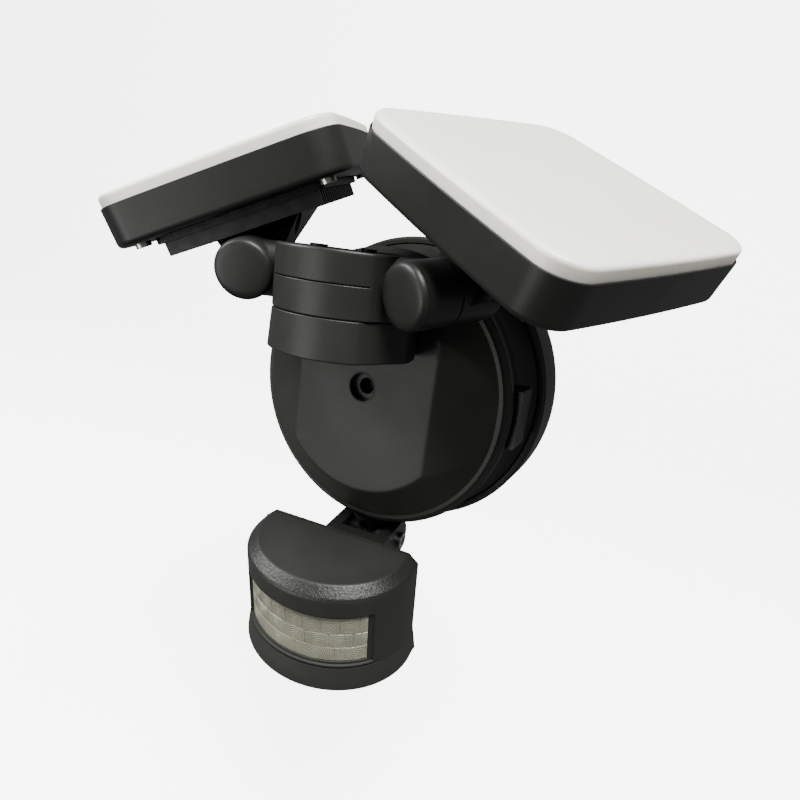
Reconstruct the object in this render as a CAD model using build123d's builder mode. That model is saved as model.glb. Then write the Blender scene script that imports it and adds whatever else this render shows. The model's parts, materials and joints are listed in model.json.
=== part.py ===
from build123d import *
import os
from math import cos, radians, sin, sqrt, tan

os.makedirs("parts", exist_ok=True)

# Frame: X to the right, Y towards the wall, Z up. The origin is the centre of the wall plate's
# rear face, so the wall is the plane Y = 0 and "depth" is the distance in front of it.

# ---------------------------------------------------------------- driving dimensions (mm)
wall_t = 2.4                    # moulded wall thickness
fit_gap = 0.3                   # gap between neighbouring mouldings

plate_r = 66.0                  # wall plate
plate_depth = 20.0
plate_floor = 3.0
plate_mouth_r = 63.2
mount_pcd = 96.0
mount_hole_r = 2.75
cable_z = -34.0
cable_r = 3.5
grommet_r = 8.0

drum_front = 44.0               # waisted base housing
drum_rear = 17.5
drum_floor_rear = 23.0
drum_floor_front = 25.6
waist_r = 56.8

rim_r = 60.0                    # front cover
rim_rear = 44.2
rim_front = 47.0
face_depth = 60.0
face_r = 42.0
facet_half = 32.0
facet_angle = 23.0
screw_z = 3.0

clip_half_z = 12.0              # side release clips
clip_rear = 29.0
clip_front = 42.0
clip_out = 62.0
clip_in = 50.0

hub_y = -77.6                   # hub that carries the two arms
hub_r = 26.6
skirt_bottom = 20.6
skirt_top = 34.9
skirt_bottom_r = 27.6
skirt_top_r = 26.8
tier_bottom = 35.0
arm_z = 46.3
hub_top = 57.0
dish = 0.5
hub_back_y = -60.4
hub_screw_ys = (hub_y - 19.5, hub_y + 12.1)

toe = 24.0                      # arms: each points outwards and this far forwards
arm_roll_rest = 8.4
arm_reach = 37.9                # hub axis to barrel axis, along the arm
arm_set_back = 3.0              # arm axis behind the hub axis
barrel_r = 11.1
boss_face = 25.6
boss_r = 10.6
journal_r = 7.5
flange_r = 8.8
flange_out = 17.0
flange_in = 13.0
wire_bore_r = 4.0
barrel_front = -5.5
barrel_rear = 8.0
pivot_r = 2.5
running = 0.05                  # radial clearance of pins and journals

tilt_rest = {"right": 26.5, "left": 24.0}
washer_t = 0.7
bracket_front = 8.8
bracket_rear = 26.0
pad_half = 20.0

head_half = 47.5                # lamp heads, square with bowed sides
head_bow = 1.0
head_corner = 12.0
head_y = 42.0
head_rear = 20.0
head_rim = 35.0
head_top = 40.0
ledge = 30.0
sink_half = 35.0
fin_root = 17.5
fin_tip = 12.2
fin_pitch = 3.6
fin_t = 1.4
fin_count = 19
head_screw_at = 38.0

neck_y = -36.0                  # motion sensor
pivot_z = -72.8
sensor_yaw = 5.7
sensor_pitch = 9.35
sensor_half = 36.0
sensor_nose = 30.3
arc_y = -38.2
sensor_rear = -30.65
seam_y = -33.6
sensor_top = 21.8
bevel_foot = 18.0
bevel_inset = 4.4
flare_top = -15.0
sensor_bottom = -26.0
flare = 1.7
window_top = 9.5
window_bottom = -12.5
window_half = 29.0
ear_in = 9.2
ear_out = 14.5
ear_r = 9.0
knob_x = 14.0
knob_y = -50.0


# ---------------------------------------------------------------- planes
def turned(plane, origin, x_dir, z_dir):
    """A plane whose origin and directions are given in another plane's own axes."""
    place = plane.from_local_coords(origin)
    along = plane.from_local_coords(x_dir) - plane.origin
    up = plane.from_local_coords(z_dir) - plane.origin
    return Plane(origin=place, x_dir=along, z_dir=up)


def axis_of(plane, direction):
    """The axis through a plane's origin along one of its own directions."""
    return Axis(plane.origin, plane.from_local_coords(direction) - plane.origin)


def arm_plane(side):
    """Origin where arm and barrel cross; X along the arm to the right, Y rearwards, Z up."""
    t = radians(toe)
    outward = Vector(side * cos(t), -sin(t), 0)
    rearward = Vector(side * sin(t), cos(t), 0)
    origin = Vector(0, hub_y, arm_z) + outward * arm_reach + rearward * arm_set_back
    level = Plane(origin=origin, x_dir=outward * side, z_dir=(0, 0, 1))
    roll = radians(arm_roll_rest)
    return turned(level, (0, 0, 0), (1, 0, 0), (0, -sin(roll), cos(roll)))


def head_plane(side, name):
    """The arm plane turned about the barrel's axis, so that the head leans outwards."""
    lean = side * radians(tilt_rest[name])
    return turned(arm_plane(side), (0, 0, 0), (cos(lean), 0, -sin(lean)), (sin(lean), 0, cos(lean)))


def sensor_plane():
    """Origin on the tilt pivot; Y rearwards, Z up, turned to the right and nosed down."""
    yaw = radians(sensor_yaw)
    pitch = radians(sensor_pitch)
    level = Plane(origin=(0, neck_y, pivot_z), x_dir=(cos(yaw), sin(yaw), 0), z_dir=(0, 0, 1))
    return turned(level, (0, 0, 0), (1, 0, 0), (0, -sin(pitch), cos(pitch)))


FRONT = Plane.XZ                # faces away from the wall: offset(d) lies d in front of it


def finish(part, name):
    """Label one finished piece and write its STEP file."""
    part.label = name
    export_step(part, f"parts/{name}.step")


def ring_of(points):
    """A closed face in the XY plane from (radius, depth) points."""
    with BuildSketch(Plane.XY) as profile:
        with BuildLine():
            Polyline(*[(r, -d) for r, d in points], close=True)
        make_face()
    return profile.sketch


# ---------------------------------------------------------------- wall plate and its fittings
with BuildPart() as wall_plate:
    revolve(ring_of([(0, 0), (plate_r - 1.0, 0), (plate_r, 1.2), (plate_r, plate_depth - 1.4),
                     (plate_r - 1.2, plate_depth), (plate_mouth_r, plate_depth),
                     (plate_mouth_r, plate_floor), (0, plate_floor)]), axis=Axis.Y)
    with BuildSketch(FRONT.offset(12.0)):
        with GridLocations(2 * 61.9, 0, 2, 1):
            Rectangle(3.8, 13.0)
    extrude(amount=2.0)
    with BuildSketch(FRONT):
        Circle(62.0)
        Circle(58.0, mode=Mode.SUBTRACT)
    extrude(amount=2.0, mode=Mode.SUBTRACT)
    with BuildSketch(FRONT):
        with PolarLocations(mount_pcd / 2, 4, start_angle=45):
            Circle(mount_hole_r)
        with Locations((0, cable_z)):
            Circle(grommet_r)
    extrude(amount=plate_floor, mode=Mode.SUBTRACT)
finish(wall_plate.part, "wall_plate")

with BuildPart() as wall_gasket:
    with BuildSketch(FRONT):
        Circle(62.0)
        Circle(58.0, mode=Mode.SUBTRACT)
    extrude(amount=2.0)
finish(wall_gasket.part, "wall_gasket")

with BuildPart() as cable_gland:
    with BuildSketch(FRONT):
        with Locations((0, cable_z)):
            Circle(grommet_r)
    extrude(amount=plate_floor)
    with BuildSketch(FRONT.offset(plate_floor)):
        with Locations((0, cable_z)):
            Circle(grommet_r + 2.0)
    extrude(amount=2.0)
    with BuildSketch(FRONT):
        with Locations((0, cable_z)):
            Circle(cable_r)
    extrude(amount=plate_floor + 2.0, mode=Mode.SUBTRACT)
finish(cable_gland.part, "cable_gland")

with BuildPart() as terminal_block:
    with BuildSketch(FRONT.offset(plate_floor)):
        with Locations((0, -12.0)):
            Rectangle(30.0, 13.0)
    extrude(amount=11.0)
    with BuildSketch(FRONT.offset(plate_floor + 7.0)):
        with Locations((0, -12.0)):
            with GridLocations(9.0, 0, 3, 1):
                Circle(2.6)
    extrude(amount=4.0, mode=Mode.SUBTRACT)
finish(terminal_block.part, "terminal_block")

# ---------------------------------------------------------------- waisted base housing
with BuildPart() as base_housing:
    with BuildSketch(Plane.XY) as waist:
        with BuildLine():
            outer = ThreePointArc((61.3, -21.4), (waist_r, -32.5), (58.8, -drum_front))
            inner = ThreePointArc((58.9, -21.4), (waist_r - wall_t, -32.5), (56.4, -drum_front))
            Line(outer @ 1, inner @ 1)
            Polyline(outer @ 0, (62.7, -20.2), (62.7, -drum_rear), (58.9, -drum_rear), inner @ 0)
        make_face()
    revolve(axis=Axis.Y)
    with BuildSketch(FRONT.offset(drum_floor_rear)):
        Circle(57.4)
    extrude(amount=drum_floor_front - drum_floor_rear)
    with BuildSketch(FRONT.offset(drum_floor_front)):
        with GridLocations(64.0, 56.0, 2, 2):
            Circle(3.0)
            Circle(1.3 + running, mode=Mode.SUBTRACT)
    extrude(amount=4.4)
    with BuildSketch(FRONT.offset(drum_floor_front)):
        with Locations((0, screw_z)):
            Circle(4.6)
    extrude(amount=16.0)
    # vertical socket for the sensor's neck
    with BuildSketch(Plane.XY.offset(-61.8)):
        with Locations((0, neck_y)):
            Circle(8.0)
    extrude(amount=13.8)
    with BuildSketch(Plane.XY.offset(-61.8)):
        with Locations((0, neck_y)):
            Circle(6.0 + running)
    extrude(amount=20.0, mode=Mode.SUBTRACT)
    # openings for the two clips, their tails and the wires
    with BuildSketch(FRONT.offset(clip_rear - fit_gap)):
        with GridLocations(2 * clip_out, 0, 2, 1):
            Rectangle(24.0, 2 * (clip_half_z + fit_gap))
    extrude(amount=clip_front - clip_rear + 2 * fit_gap, mode=Mode.SUBTRACT)
    with BuildSketch(FRONT.offset(drum_floor_rear)):
        with GridLocations(2 * 50.0, 0, 2, 1):
            Rectangle(6.4, 15.0)
        with Locations((0, 28.0)):
            Circle(6.0)
    extrude(amount=drum_floor_front - drum_floor_rear, mode=Mode.SUBTRACT)
    with BuildSketch(FRONT.offset(drum_floor_rear)):
        with Locations((0, screw_z)):
            Circle(2.0 + running)
    extrude(amount=20.0, mode=Mode.SUBTRACT)
finish(base_housing.part, "base_housing")

for side, name in ((1, "right"), (-1, "left")):
    with BuildPart() as side_clip:
        with BuildSketch(FRONT.offset(clip_rear)):
            with Locations((side * (clip_in + clip_out) / 2, 0)):
                Rectangle(clip_out - clip_in, 2 * clip_half_z)
        extrude(amount=clip_front - clip_rear)
        fillet(side_clip.edges().filter_by(Axis.Y).sort_by(Axis.X)[-2:] if side > 0
               else side_clip.edges().filter_by(Axis.Y).sort_by(Axis.X)[:2], 1.2)
        with BuildSketch(FRONT.offset(clip_rear - 1.5)):
            with Locations((side * (clip_in + 1.0), 0)):
                Rectangle(2.0, 2 * clip_half_z + 4.0)
        extrude(amount=clip_front - clip_rear + 3.0)
        with BuildSketch(FRONT.offset(9.0)):
            with Locations((side * (clip_in + 1.0), 0)):
                Rectangle(2.0, 12.0)
        extrude(amount=clip_rear - 9.0)
        with BuildSketch(FRONT.offset(9.0)):
            with Locations((side * (clip_in + 62.2) / 2, 0)):
                Rectangle(62.2 - clip_in, 12.0)
        extrude(amount=2.6)
    finish(side_clip.part, f"{name}_clip")

# ---------------------------------------------------------------- driver electronics
with BuildPart() as driver_board:
    with BuildSketch(FRONT.offset(30.0)):
        RectangleRounded(76.0, 66.0, 4.0)
        with Locations((0, screw_z)):
            Circle(7.0, mode=Mode.SUBTRACT)
        with Locations((0, 25.0)):
            Circle(5.0, mode=Mode.SUBTRACT)
    extrude(amount=1.6)
    with BuildSketch(FRONT.offset(30.0)):
        with GridLocations(64.0, 56.0, 2, 2):
            Circle(1.3 + running)
    extrude(amount=1.6, mode=Mode.SUBTRACT)
finish(driver_board.part, "driver_board")

with BuildPart() as driver_screws:
    with BuildSketch(FRONT.offset(31.6)):
        with GridLocations(64.0, 56.0, 2, 2):
            Circle(2.6)
    extrude(amount=1.5)
    with BuildSketch(FRONT.offset(27.0)):
        with GridLocations(64.0, 56.0, 2, 2):
            Circle(1.3)
    extrude(amount=4.6)
finish(driver_screws.part, "driver_screws")

with BuildPart() as driver_transformer:
    with BuildSketch(FRONT.offset(31.6)):
        with Locations((-22.0, 8.0)):
            Rectangle(18.0, 18.0)
    extrude(amount=15.0)
    chamfer(driver_transformer.edges().filter_by(Axis.Y), 1.5)
finish(driver_transformer.part, "driver_transformer")

with BuildPart() as driver_capacitors:
    with BuildSketch(FRONT.offset(31.6)):
        with Locations((22.0, 12.0), (22.0, -4.0)):
            Circle(5.0)
    extrude(amount=14.0)
finish(driver_capacitors.part, "driver_capacitors")

# ---------------------------------------------------------------- front cover with hub skirt


def cover_body(inset):
    """Rim, conical bevel and three facets of the front cover, drawn in by an inset."""
    slope = (face_depth - rim_front) / (rim_r - face_r)
    sink = inset * sqrt(1 + slope ** 2)
    facet_shift = inset / cos(radians(facet_angle))
    reach = rim_r + 5.0
    drop = (reach - facet_half) * tan(radians(facet_angle))
    corner_depth = rim_front + inset * slope - sink
    flat_r = rim_r - (face_depth - inset - rim_front + sink) / slope
    with BuildPart() as body:
        revolve(ring_of([(0, rim_rear), (rim_r - inset, rim_rear), (rim_r - inset, corner_depth),
                         (flat_r, face_depth - inset), (0, face_depth - inset)]), axis=Axis.Y)
        with BuildSketch(Plane.XY.offset(-rim_r)):
            for mirrored in (1, -1):
                with BuildLine():
                    Polyline((mirrored * facet_half, -(face_depth - facet_shift)),
                             (mirrored * reach, -(face_depth - facet_shift - drop)),
                             (mirrored * reach, -(face_depth + 1.0)),
                             (mirrored * facet_half, -(face_depth + 1.0)), close=True)
                make_face()
        extrude(amount=2 * rim_r, mode=Mode.SUBTRACT)
    return body.part


with BuildPart() as front_cover:
    add(cover_body(0))
    add(cover_body(wall_t), mode=Mode.SUBTRACT)
    # spigot that centres the cover in the housing
    with BuildSketch(FRONT.offset(40.6)):
        Circle(55.0)
        Circle(53.0, mode=Mode.SUBTRACT)
        Rectangle(124.0, 31.0, mode=Mode.SUBTRACT)
        with Locations((0, -52.0)):
            Rectangle(24.0, 12.0, mode=Mode.SUBTRACT)
    extrude(amount=4.4)
    with BuildSketch(FRONT.offset(rim_rear)):
        Circle(rim_r - 0.6)
        Circle(53.0, mode=Mode.SUBTRACT)
    extrude(amount=1.2)
    # pylon and skirt of the hub
    with BuildSketch(Plane.XY.offset(skirt_bottom + 1.2)):
        with Locations((0, (-58.5 + hub_y) / 2)):
            Rectangle(34.0, abs(-58.5 - hub_y))
    extrude(amount=skirt_top - skirt_bottom - 1.2)
    with BuildSketch(Plane.XY.offset(skirt_bottom)):
        with Locations((0, hub_y)):
            Circle(skirt_bottom_r)
    with BuildSketch(Plane.XY.offset(skirt_top)):
        with Locations((0, hub_y)):
            Circle(skirt_top_r)
    loft()
    # flats of the skirt below the arms
    for side in (1, -1):
        hub_side = turned(arm_plane(side), (0, 0, 0), (0, 1, 0), (-side, 0, 0))
        with BuildSketch(hub_side.offset(arm_reach - boss_face)):
            with Locations((-3.0, side * 18.3)):
                Rectangle(24.0, 18.0)
        extrude(amount=-8.0, mode=Mode.SUBTRACT)
    with BuildSketch(Plane.XY.offset(skirt_bottom + wall_t)):
        with Locations((0, hub_y)):
            Circle(skirt_bottom_r - wall_t - 1.4)
    extrude(amount=skirt_top - skirt_bottom - wall_t, mode=Mode.SUBTRACT)
    with BuildSketch(Plane.XY.offset(skirt_bottom + wall_t)):
        with Locations(*[(0, y) for y in hub_screw_ys]):
            Circle(4.2)
    extrude(amount=skirt_top - skirt_bottom - wall_t)
    # wire way from the hub into the base
    with BuildSketch(FRONT.offset(50.0)):
        with Locations((9.5, 29.0)):
            Circle(3.4)
    extrude(amount=22.0, mode=Mode.SUBTRACT)
    # tube of the fixing screw
    with BuildSketch(FRONT.offset(42.0)):
        with Locations((0, screw_z)):
            Circle(8.0)
    extrude(amount=face_depth - 42.0)
    with BuildSketch(FRONT.offset(face_depth - 4.0)):
        with Locations((0, screw_z)):
            Circle(5.8)
    extrude(amount=4.0, mode=Mode.SUBTRACT)
    with BuildSketch(FRONT.offset(44.0)):
        with Locations((0, screw_z)):
            Circle(3.3)
    extrude(amount=face_depth - 44.0, mode=Mode.SUBTRACT)
    with BuildSketch(FRONT.offset(41.0)):
        with Locations((0, screw_z)):
            Circle(2.0 + running)
    extrude(amount=4.0, mode=Mode.SUBTRACT)
    with BuildSketch(Plane.XY.offset(skirt_bottom + 3.0)):
        with Locations(*[(0, y) for y in hub_screw_ys]):
            Circle(1.5 + running)
    extrude(amount=20.0, mode=Mode.SUBTRACT)
finish(front_cover.part, "front_cover")

with BuildPart() as cover_screw:
    with BuildSketch(FRONT.offset(44.0)):
        with Locations((0, screw_z)):
            Circle(3.1)
    extrude(amount=2.4)
    with BuildSketch(FRONT.offset(26.5)):
        with Locations((0, screw_z)):
            Circle(2.0)
    extrude(amount=17.5)
    with BuildSketch(FRONT.offset(45.2)):
        with Locations((0, screw_z)):
            Rectangle(0.9, 4.4)
            Rectangle(4.4, 0.9)
    extrude(amount=1.3, mode=Mode.SUBTRACT)
finish(cover_screw.part, "cover_screw")

# ---------------------------------------------------------------- hub halves that clamp the arms
with BuildPart() as hub_core:
    with BuildSketch(Plane.XY.offset(tier_bottom)):
        with Locations((0, hub_y)):
            Circle(hub_r)
    extrude(amount=hub_top - tier_bottom)
    for side in (1, -1):
        hub_side = turned(arm_plane(side), (0, 0, 0), (0, 1, 0), (-side, 0, 0))
        with BuildSketch(hub_side.offset(arm_reach - boss_face)):
            Circle(boss_r)
        extrude(amount=12.0)
    with BuildSketch(Plane.XY.offset(tier_bottom)):
        with Locations((0, hub_back_y + 10.0)):
            Rectangle(60.0, 20.0)
    extrude(amount=hub_top - tier_bottom, mode=Mode.SUBTRACT)
    for side in (1, -1):
        hub_side = turned(arm_plane(side), (0, 0, 0), (0, 1, 0), (-side, 0, 0))
        with BuildSketch(hub_side):
            Circle(journal_r + running)
        extrude(amount=arm_reach - flange_in, mode=Mode.SUBTRACT)
        with BuildSketch(hub_side.offset(arm_reach - flange_out - fit_gap)):
            Circle(flange_r + fit_gap)
        extrude(amount=flange_out - flange_in + 2 * fit_gap, mode=Mode.SUBTRACT)
        with BuildSketch(hub_side.offset(arm_reach - flange_in)):
            Circle(wire_bore_r + 1.0)
        extrude(amount=9.0, mode=Mode.SUBTRACT)
        with BuildSketch(hub_side.offset(arm_reach - boss_face)):
            Circle(2 * boss_r)
        extrude(amount=-8.0, mode=Mode.SUBTRACT)
    with BuildSketch(Plane.XY.offset(tier_bottom)):
        with Locations((0, hub_y + 1.0)):
            Circle(6.0)
    extrude(amount=arm_z + 6.0 - tier_bottom, mode=Mode.SUBTRACT)
    with BuildSketch(Plane.XY.offset(tier_bottom)):
        with Locations(*[(0, y) for y in hub_screw_ys]):
            Circle(1.5 + running)
    extrude(amount=hub_top - tier_bottom, mode=Mode.SUBTRACT)

with BuildPart() as hub_lower:
    add(hub_core.part)
    split(bisect_by=Plane.XY.offset(arm_z), keep=Keep.BOTTOM)
finish(hub_lower.part, "hub_lower")

with BuildPart() as hub_cap:
    add(hub_core.part)
    split(bisect_by=Plane.XY.offset(arm_z), keep=Keep.TOP)
    with BuildSketch(Plane.XY.offset(hub_top - dish)):
        with Locations((0, hub_y)):
            Circle(hub_r - 1.6)
        with Locations((0, hub_back_y + 8.4)):
            Rectangle(60.0, 20.0, mode=Mode.SUBTRACT)
    extrude(amount=dish, mode=Mode.SUBTRACT)
finish(hub_cap.part, "hub_cap")

with BuildPart() as hub_screws:
    with BuildSketch(Plane.XY.offset(hub_top - dish)):
        with Locations(*[(0, y) for y in hub_screw_ys]):
            Circle(3.0)
    extrude(amount=1.5)
    with BuildSketch(Plane.XY.offset(skirt_bottom + 4.0)):
        with Locations(*[(0, y) for y in hub_screw_ys]):
            Circle(1.5)
    extrude(amount=hub_top - dish - skirt_bottom - 4.0)
    with BuildSketch(Plane.XY.offset(hub_top)):
        with Locations(*[(0, y) for y in hub_screw_ys]):
            Rectangle(0.8, 3.8)
            Rectangle(3.8, 0.8)
    extrude(amount=0.9, mode=Mode.SUBTRACT)
finish(hub_screws.part, "hub_screws")


# ---------------------------------------------------------------- arms
def make_arm(side, name):
    """Elbow of one arm: front-to-back barrel, short neck and the journal in the hub."""
    frame = arm_plane(side)
    across = turned(frame, (0, 0, 0), (0, 1, 0), (-side, 0, 0))
    along = turned(frame, (0, 0, 0), (1, 0, 0), (0, 1, 0))
    neck_end = arm_reach - boss_face - fit_gap
    with BuildPart() as arm:
        with BuildSketch(along.offset(barrel_front)):
            Circle(barrel_r)
        extrude(amount=barrel_rear - barrel_front)
        with BuildSketch(across):
            with Locations(((barrel_front + barrel_rear) / 2, 0)):
                Ellipse((barrel_rear - barrel_front) / 2 - 0.2, boss_r - 0.2)
        extrude(amount=neck_end)
        with BuildSketch(across.offset(neck_end)):
            Circle(journal_r)
        extrude(amount=arm_reach - flange_in - neck_end)
        with BuildSketch(across.offset(arm_reach - flange_out)):
            Circle(flange_r)
        extrude(amount=flange_out - flange_in)
        with BuildSketch(across):
            Circle(wire_bore_r)
        extrude(amount=arm_reach, mode=Mode.SUBTRACT)
        with BuildSketch(along.offset(barrel_front)):
            Circle(barrel_r - wall_t)
        extrude(amount=barrel_rear - 3.5 - barrel_front, mode=Mode.SUBTRACT)
        with BuildSketch(along):
            Circle(pivot_r + running)
        extrude(amount=barrel_rear, mode=Mode.SUBTRACT)
    finish(arm.part, f"{name}_arm")


def make_end_cap(side, name):
    """Domed disc that closes the front of the barrel."""
    frame = arm_plane(side)
    with BuildPart() as cap:
        with BuildSketch(frame):
            with BuildLine():
                dome = ThreePointArc((0, barrel_front - 3.1), (5.0, barrel_front - 2.95),
                                     (barrel_r - 1.9, barrel_front - 2.4))
                edge = ThreePointArc(dome @ 1, (barrel_r - 0.5, barrel_front - 1.6),
                                     (barrel_r, barrel_front - 0.5))
                Polyline(edge @ 1, (barrel_r, barrel_front), (barrel_r - wall_t - 0.1, barrel_front),
                         (barrel_r - wall_t - 0.1, barrel_front + 1.8), (0, barrel_front + 1.8),
                         dome @ 0)
            make_face()
        revolve(axis=axis_of(frame, (0, 1, 0)))
    finish(cap.part, f"{name}_arm_cap")


def make_tilt_fittings(side, name):
    """Friction washer, pivot bolt and nut of the head's tilt."""
    along = turned(arm_plane(side), (0, 0, 0), (1, 0, 0), (0, 1, 0))
    with BuildPart() as washer:
        with BuildSketch(along.offset(barrel_rear)):
            Circle(barrel_r - 0.7)
            Circle(pivot_r + 0.4, mode=Mode.SUBTRACT)
        extrude(amount=washer_t)
    finish(washer.part, f"{name}_tilt_washer")
    with BuildPart() as bolt:
        with BuildSketch(along.offset(barrel_rear - 3.5)):
            Circle(4.4)
        extrude(amount=-3.0)
        with BuildSketch(along.offset(barrel_rear - 3.5)):
            Circle(pivot_r)
        extrude(amount=15.5)
        with BuildSketch(along.offset(barrel_rear - 6.5)):
            RegularPolygon(1.6, 6)
        extrude(amount=1.6, mode=Mode.SUBTRACT)
    finish(bolt.part, f"{name}_tilt_bolt")
    with BuildPart() as nut:
        with BuildSketch(along.offset(14.2)):
            RegularPolygon(4.6, 6)
            Circle(pivot_r, mode=Mode.SUBTRACT)
        extrude(amount=4.0)
    finish(nut.part, f"{name}_tilt_nut")


# ---------------------------------------------------------------- lamp heads
def head_outline(plane, inset):
    """Square with slightly bowed sides and round corners, drawn in by an inset."""
    half = head_half - inset
    with BuildSketch(plane) as outline:
        with BuildLine():
            for turn in range(4):
                quarter = radians(90 * turn)
                ends = [(half, -half), (half + head_bow, 0), (half, half)]
                ThreePointArc(*[(x * cos(quarter) - y * sin(quarter),
                                 x * sin(quarter) + y * cos(quarter)) for x, y in ends])
        make_face()
        fillet(outline.vertices(), head_corner - inset)
    return outline.sketch


def head_corners():
    """Places of the four corner screws."""
    return [(x, y) for x in (-head_screw_at, head_screw_at) for y in (-head_screw_at, head_screw_at)]


def make_bracket(side, name):
    """Rear bracket: barrel on the tilt bolt, flared wedge and pad under the head."""
    frame = head_plane(side, name)
    along = turned(frame, (0, 0, 0), (1, 0, 0), (0, 1, 0))
    with BuildPart() as bracket:
        with BuildSketch(along.offset(bracket_front)):
            Circle(barrel_r)
        extrude(amount=bracket_rear - bracket_front)
        with BuildSketch(frame.offset(1.0)):
            with Locations((0, 18.2)):
                Rectangle(20.4, 15.4)
        with BuildSketch(frame.offset(13.2)):
            with Locations((0, head_y)):
                Rectangle(2 * pad_half - 2.0, 2 * pad_half - 4.0)
        loft()
        with BuildSketch(frame.offset(13.0)):
            with Locations((0, head_y)):
                RectangleRounded(2 * pad_half, 2 * pad_half, 2.0)
        extrude(amount=fin_root - 13.0)
        with BuildSketch(along.offset(bracket_front)):
            Circle(pivot_r + running)
        extrude(amount=20.0, mode=Mode.SUBTRACT)
        with BuildSketch(along.offset(14.0)):
            Circle(6.0)
        extrude(amount=40.0, mode=Mode.SUBTRACT)
        with BuildSketch(frame.offset(12.0)):
            with Locations((0, head_y)):
                with GridLocations(32.0, 32.0, 2, 2):
                    Circle(1.7)
        extrude(amount=8.0, mode=Mode.SUBTRACT)
        with BuildSketch(frame.offset(14.5)):
            with Locations((0, head_y)):
                with GridLocations(32.0, 32.0, 2, 2):
                    Circle(3.2)
        extrude(amount=-10.0, mode=Mode.SUBTRACT)
    finish(bracket.part, f"{name}_bracket")
    with BuildPart() as screws:
        with BuildSketch(frame.offset(12.6)):
            with Locations((0, head_y)):
                with GridLocations(32.0, 32.0, 2, 2):
                    Circle(2.9)
        extrude(amount=1.9)
        with BuildSketch(frame.offset(14.5)):
            with Locations((0, head_y)):
                with GridLocations(32.0, 32.0, 2, 2):
                    Circle(1.5)
        extrude(amount=4.4)
    finish(screws.part, f"{name}_bracket_screws")


def make_heat_sink(side, name):
    """Finned plate behind the head, with a flat seat for the bracket's pad."""
    frame = head_plane(side, name)
    with BuildPart() as sink:
        with BuildSketch(frame.offset(fin_root)):
            with Locations((0, head_y)):
                RectangleRounded(2 * sink_half, 2 * sink_half, 2.0)
        extrude(amount=head_rear - fin_root)
        with BuildSketch(frame.offset(fin_tip)):
            with Locations((0, head_y)):
                with GridLocations(0, fin_pitch, 1, fin_count):
                    Rectangle(2 * sink_half - 5.0, fin_t)
        extrude(amount=fin_root - fin_tip)
        with BuildSketch(frame.offset(fin_tip - 1.0)):
            with Locations((0, head_y)):
                Rectangle(2 * pad_half + 1.2, 2 * pad_half + 1.2)
        extrude(amount=fin_root - fin_tip + 1.0, mode=Mode.SUBTRACT)
        with BuildSketch(frame.offset(fin_root)):
            with Locations((0, head_y)):
                with GridLocations(32.0, 32.0, 2, 2):
                    Circle(1.5 + running)
        extrude(amount=1.6, mode=Mode.SUBTRACT)
    finish(sink.part, f"{name}_heat_sink")


def make_head_shell(side, name):
    """Lamp housing: outer wall, rear wall around the heat sink and the gasket's ledge."""
    frame = head_plane(side, name)
    middle = turned(frame, (0, head_y, 0), (1, 0, 0), (0, 0, 1))
    with BuildPart() as shell:
        extrude(head_outline(middle.offset(head_rear), 0), amount=head_rim - head_rear)
        fillet(shell.edges().group_by(axis_of(middle, (0, 0, 1)))[0], 2.0)
        extrude(head_outline(middle.offset(ledge), wall_t), amount=head_rim - ledge, mode=Mode.SUBTRACT)
        extrude(head_outline(middle.offset(head_rear + wall_t), wall_t + 1.8),
                amount=ledge - head_rear - wall_t, mode=Mode.SUBTRACT)
        with BuildSketch(middle.offset(head_rear)):
            Rectangle(64.0, 64.0)
        extrude(amount=wall_t, mode=Mode.SUBTRACT)
        with BuildSketch(middle.offset(head_rear + wall_t)):
            with Locations(*head_corners()):
                Circle(3.6)
        extrude(amount=ledge - head_rear - wall_t)
        with BuildSketch(middle.offset(head_rear)):
            with Locations(*head_corners()):
                Circle(1.5 + running)
        extrude(amount=ledge - head_rear, mode=Mode.SUBTRACT)
        with BuildSketch(middle.offset(head_rear)):
            with GridLocations(78.0, 40.0, 2, 2):
                Rectangle(6.0, 9.0)
        extrude(amount=-4.0)
    finish(shell.part, f"{name}_head_shell")

    with BuildPart() as gasket:
        extrude(head_outline(middle.offset(ledge), wall_t + 0.1), amount=1.0)
        extrude(head_outline(middle.offset(ledge), wall_t + 1.9), amount=1.0, mode=Mode.SUBTRACT)
    finish(gasket.part, f"{name}_head_gasket")

    with BuildPart() as diffuser:
        extrude(head_outline(middle.offset(head_rim), 0.8), amount=head_top - head_rim)
        fillet(diffuser.edges().group_by(axis_of(middle, (0, 0, 1)))[-1], 1.4)
        extrude(head_outline(middle.offset(ledge + 1.0), wall_t + 0.2), amount=head_rim - ledge - 1.0)
        extrude(head_outline(middle.offset(ledge + 1.0), wall_t + 2.0),
                amount=head_top - 2.2 - ledge - 1.0, mode=Mode.SUBTRACT)
        with BuildSketch(middle.offset(ledge + 0.1)):
            with Locations(*head_corners()):
                Circle(3.4)
        extrude(amount=head_top - 2.0 - ledge)
        with BuildSketch(middle.offset(ledge)):
            with Locations(*head_corners()):
                Circle(1.5 + running)
        extrude(amount=5.0, mode=Mode.SUBTRACT)
    finish(diffuser.part, f"{name}_diffuser")

    with BuildPart() as screws:
        with BuildSketch(middle.offset(head_rear)):
            with Locations(*head_corners()):
                Circle(3.0)
        extrude(amount=-1.7)
        with BuildSketch(middle.offset(head_rear)):
            with Locations(*head_corners()):
                Circle(1.5)
        extrude(amount=14.5)
    finish(screws.part, f"{name}_head_screws")

    with BuildPart() as led_board:
        with BuildSketch(middle.offset(head_rear)):
            RectangleRounded(60.0, 60.0, 3.0)
        extrude(amount=1.6)
    finish(led_board.part, f"{name}_led_board")

    with BuildPart() as led_chips:
        with BuildSketch(middle.offset(head_rear + 1.6)):
            with GridLocations(12.0, 12.0, 4, 4):
                Rectangle(5.0, 5.0)
        extrude(amount=0.8)
    finish(led_chips.part, f"{name}_led_chips")


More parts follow.
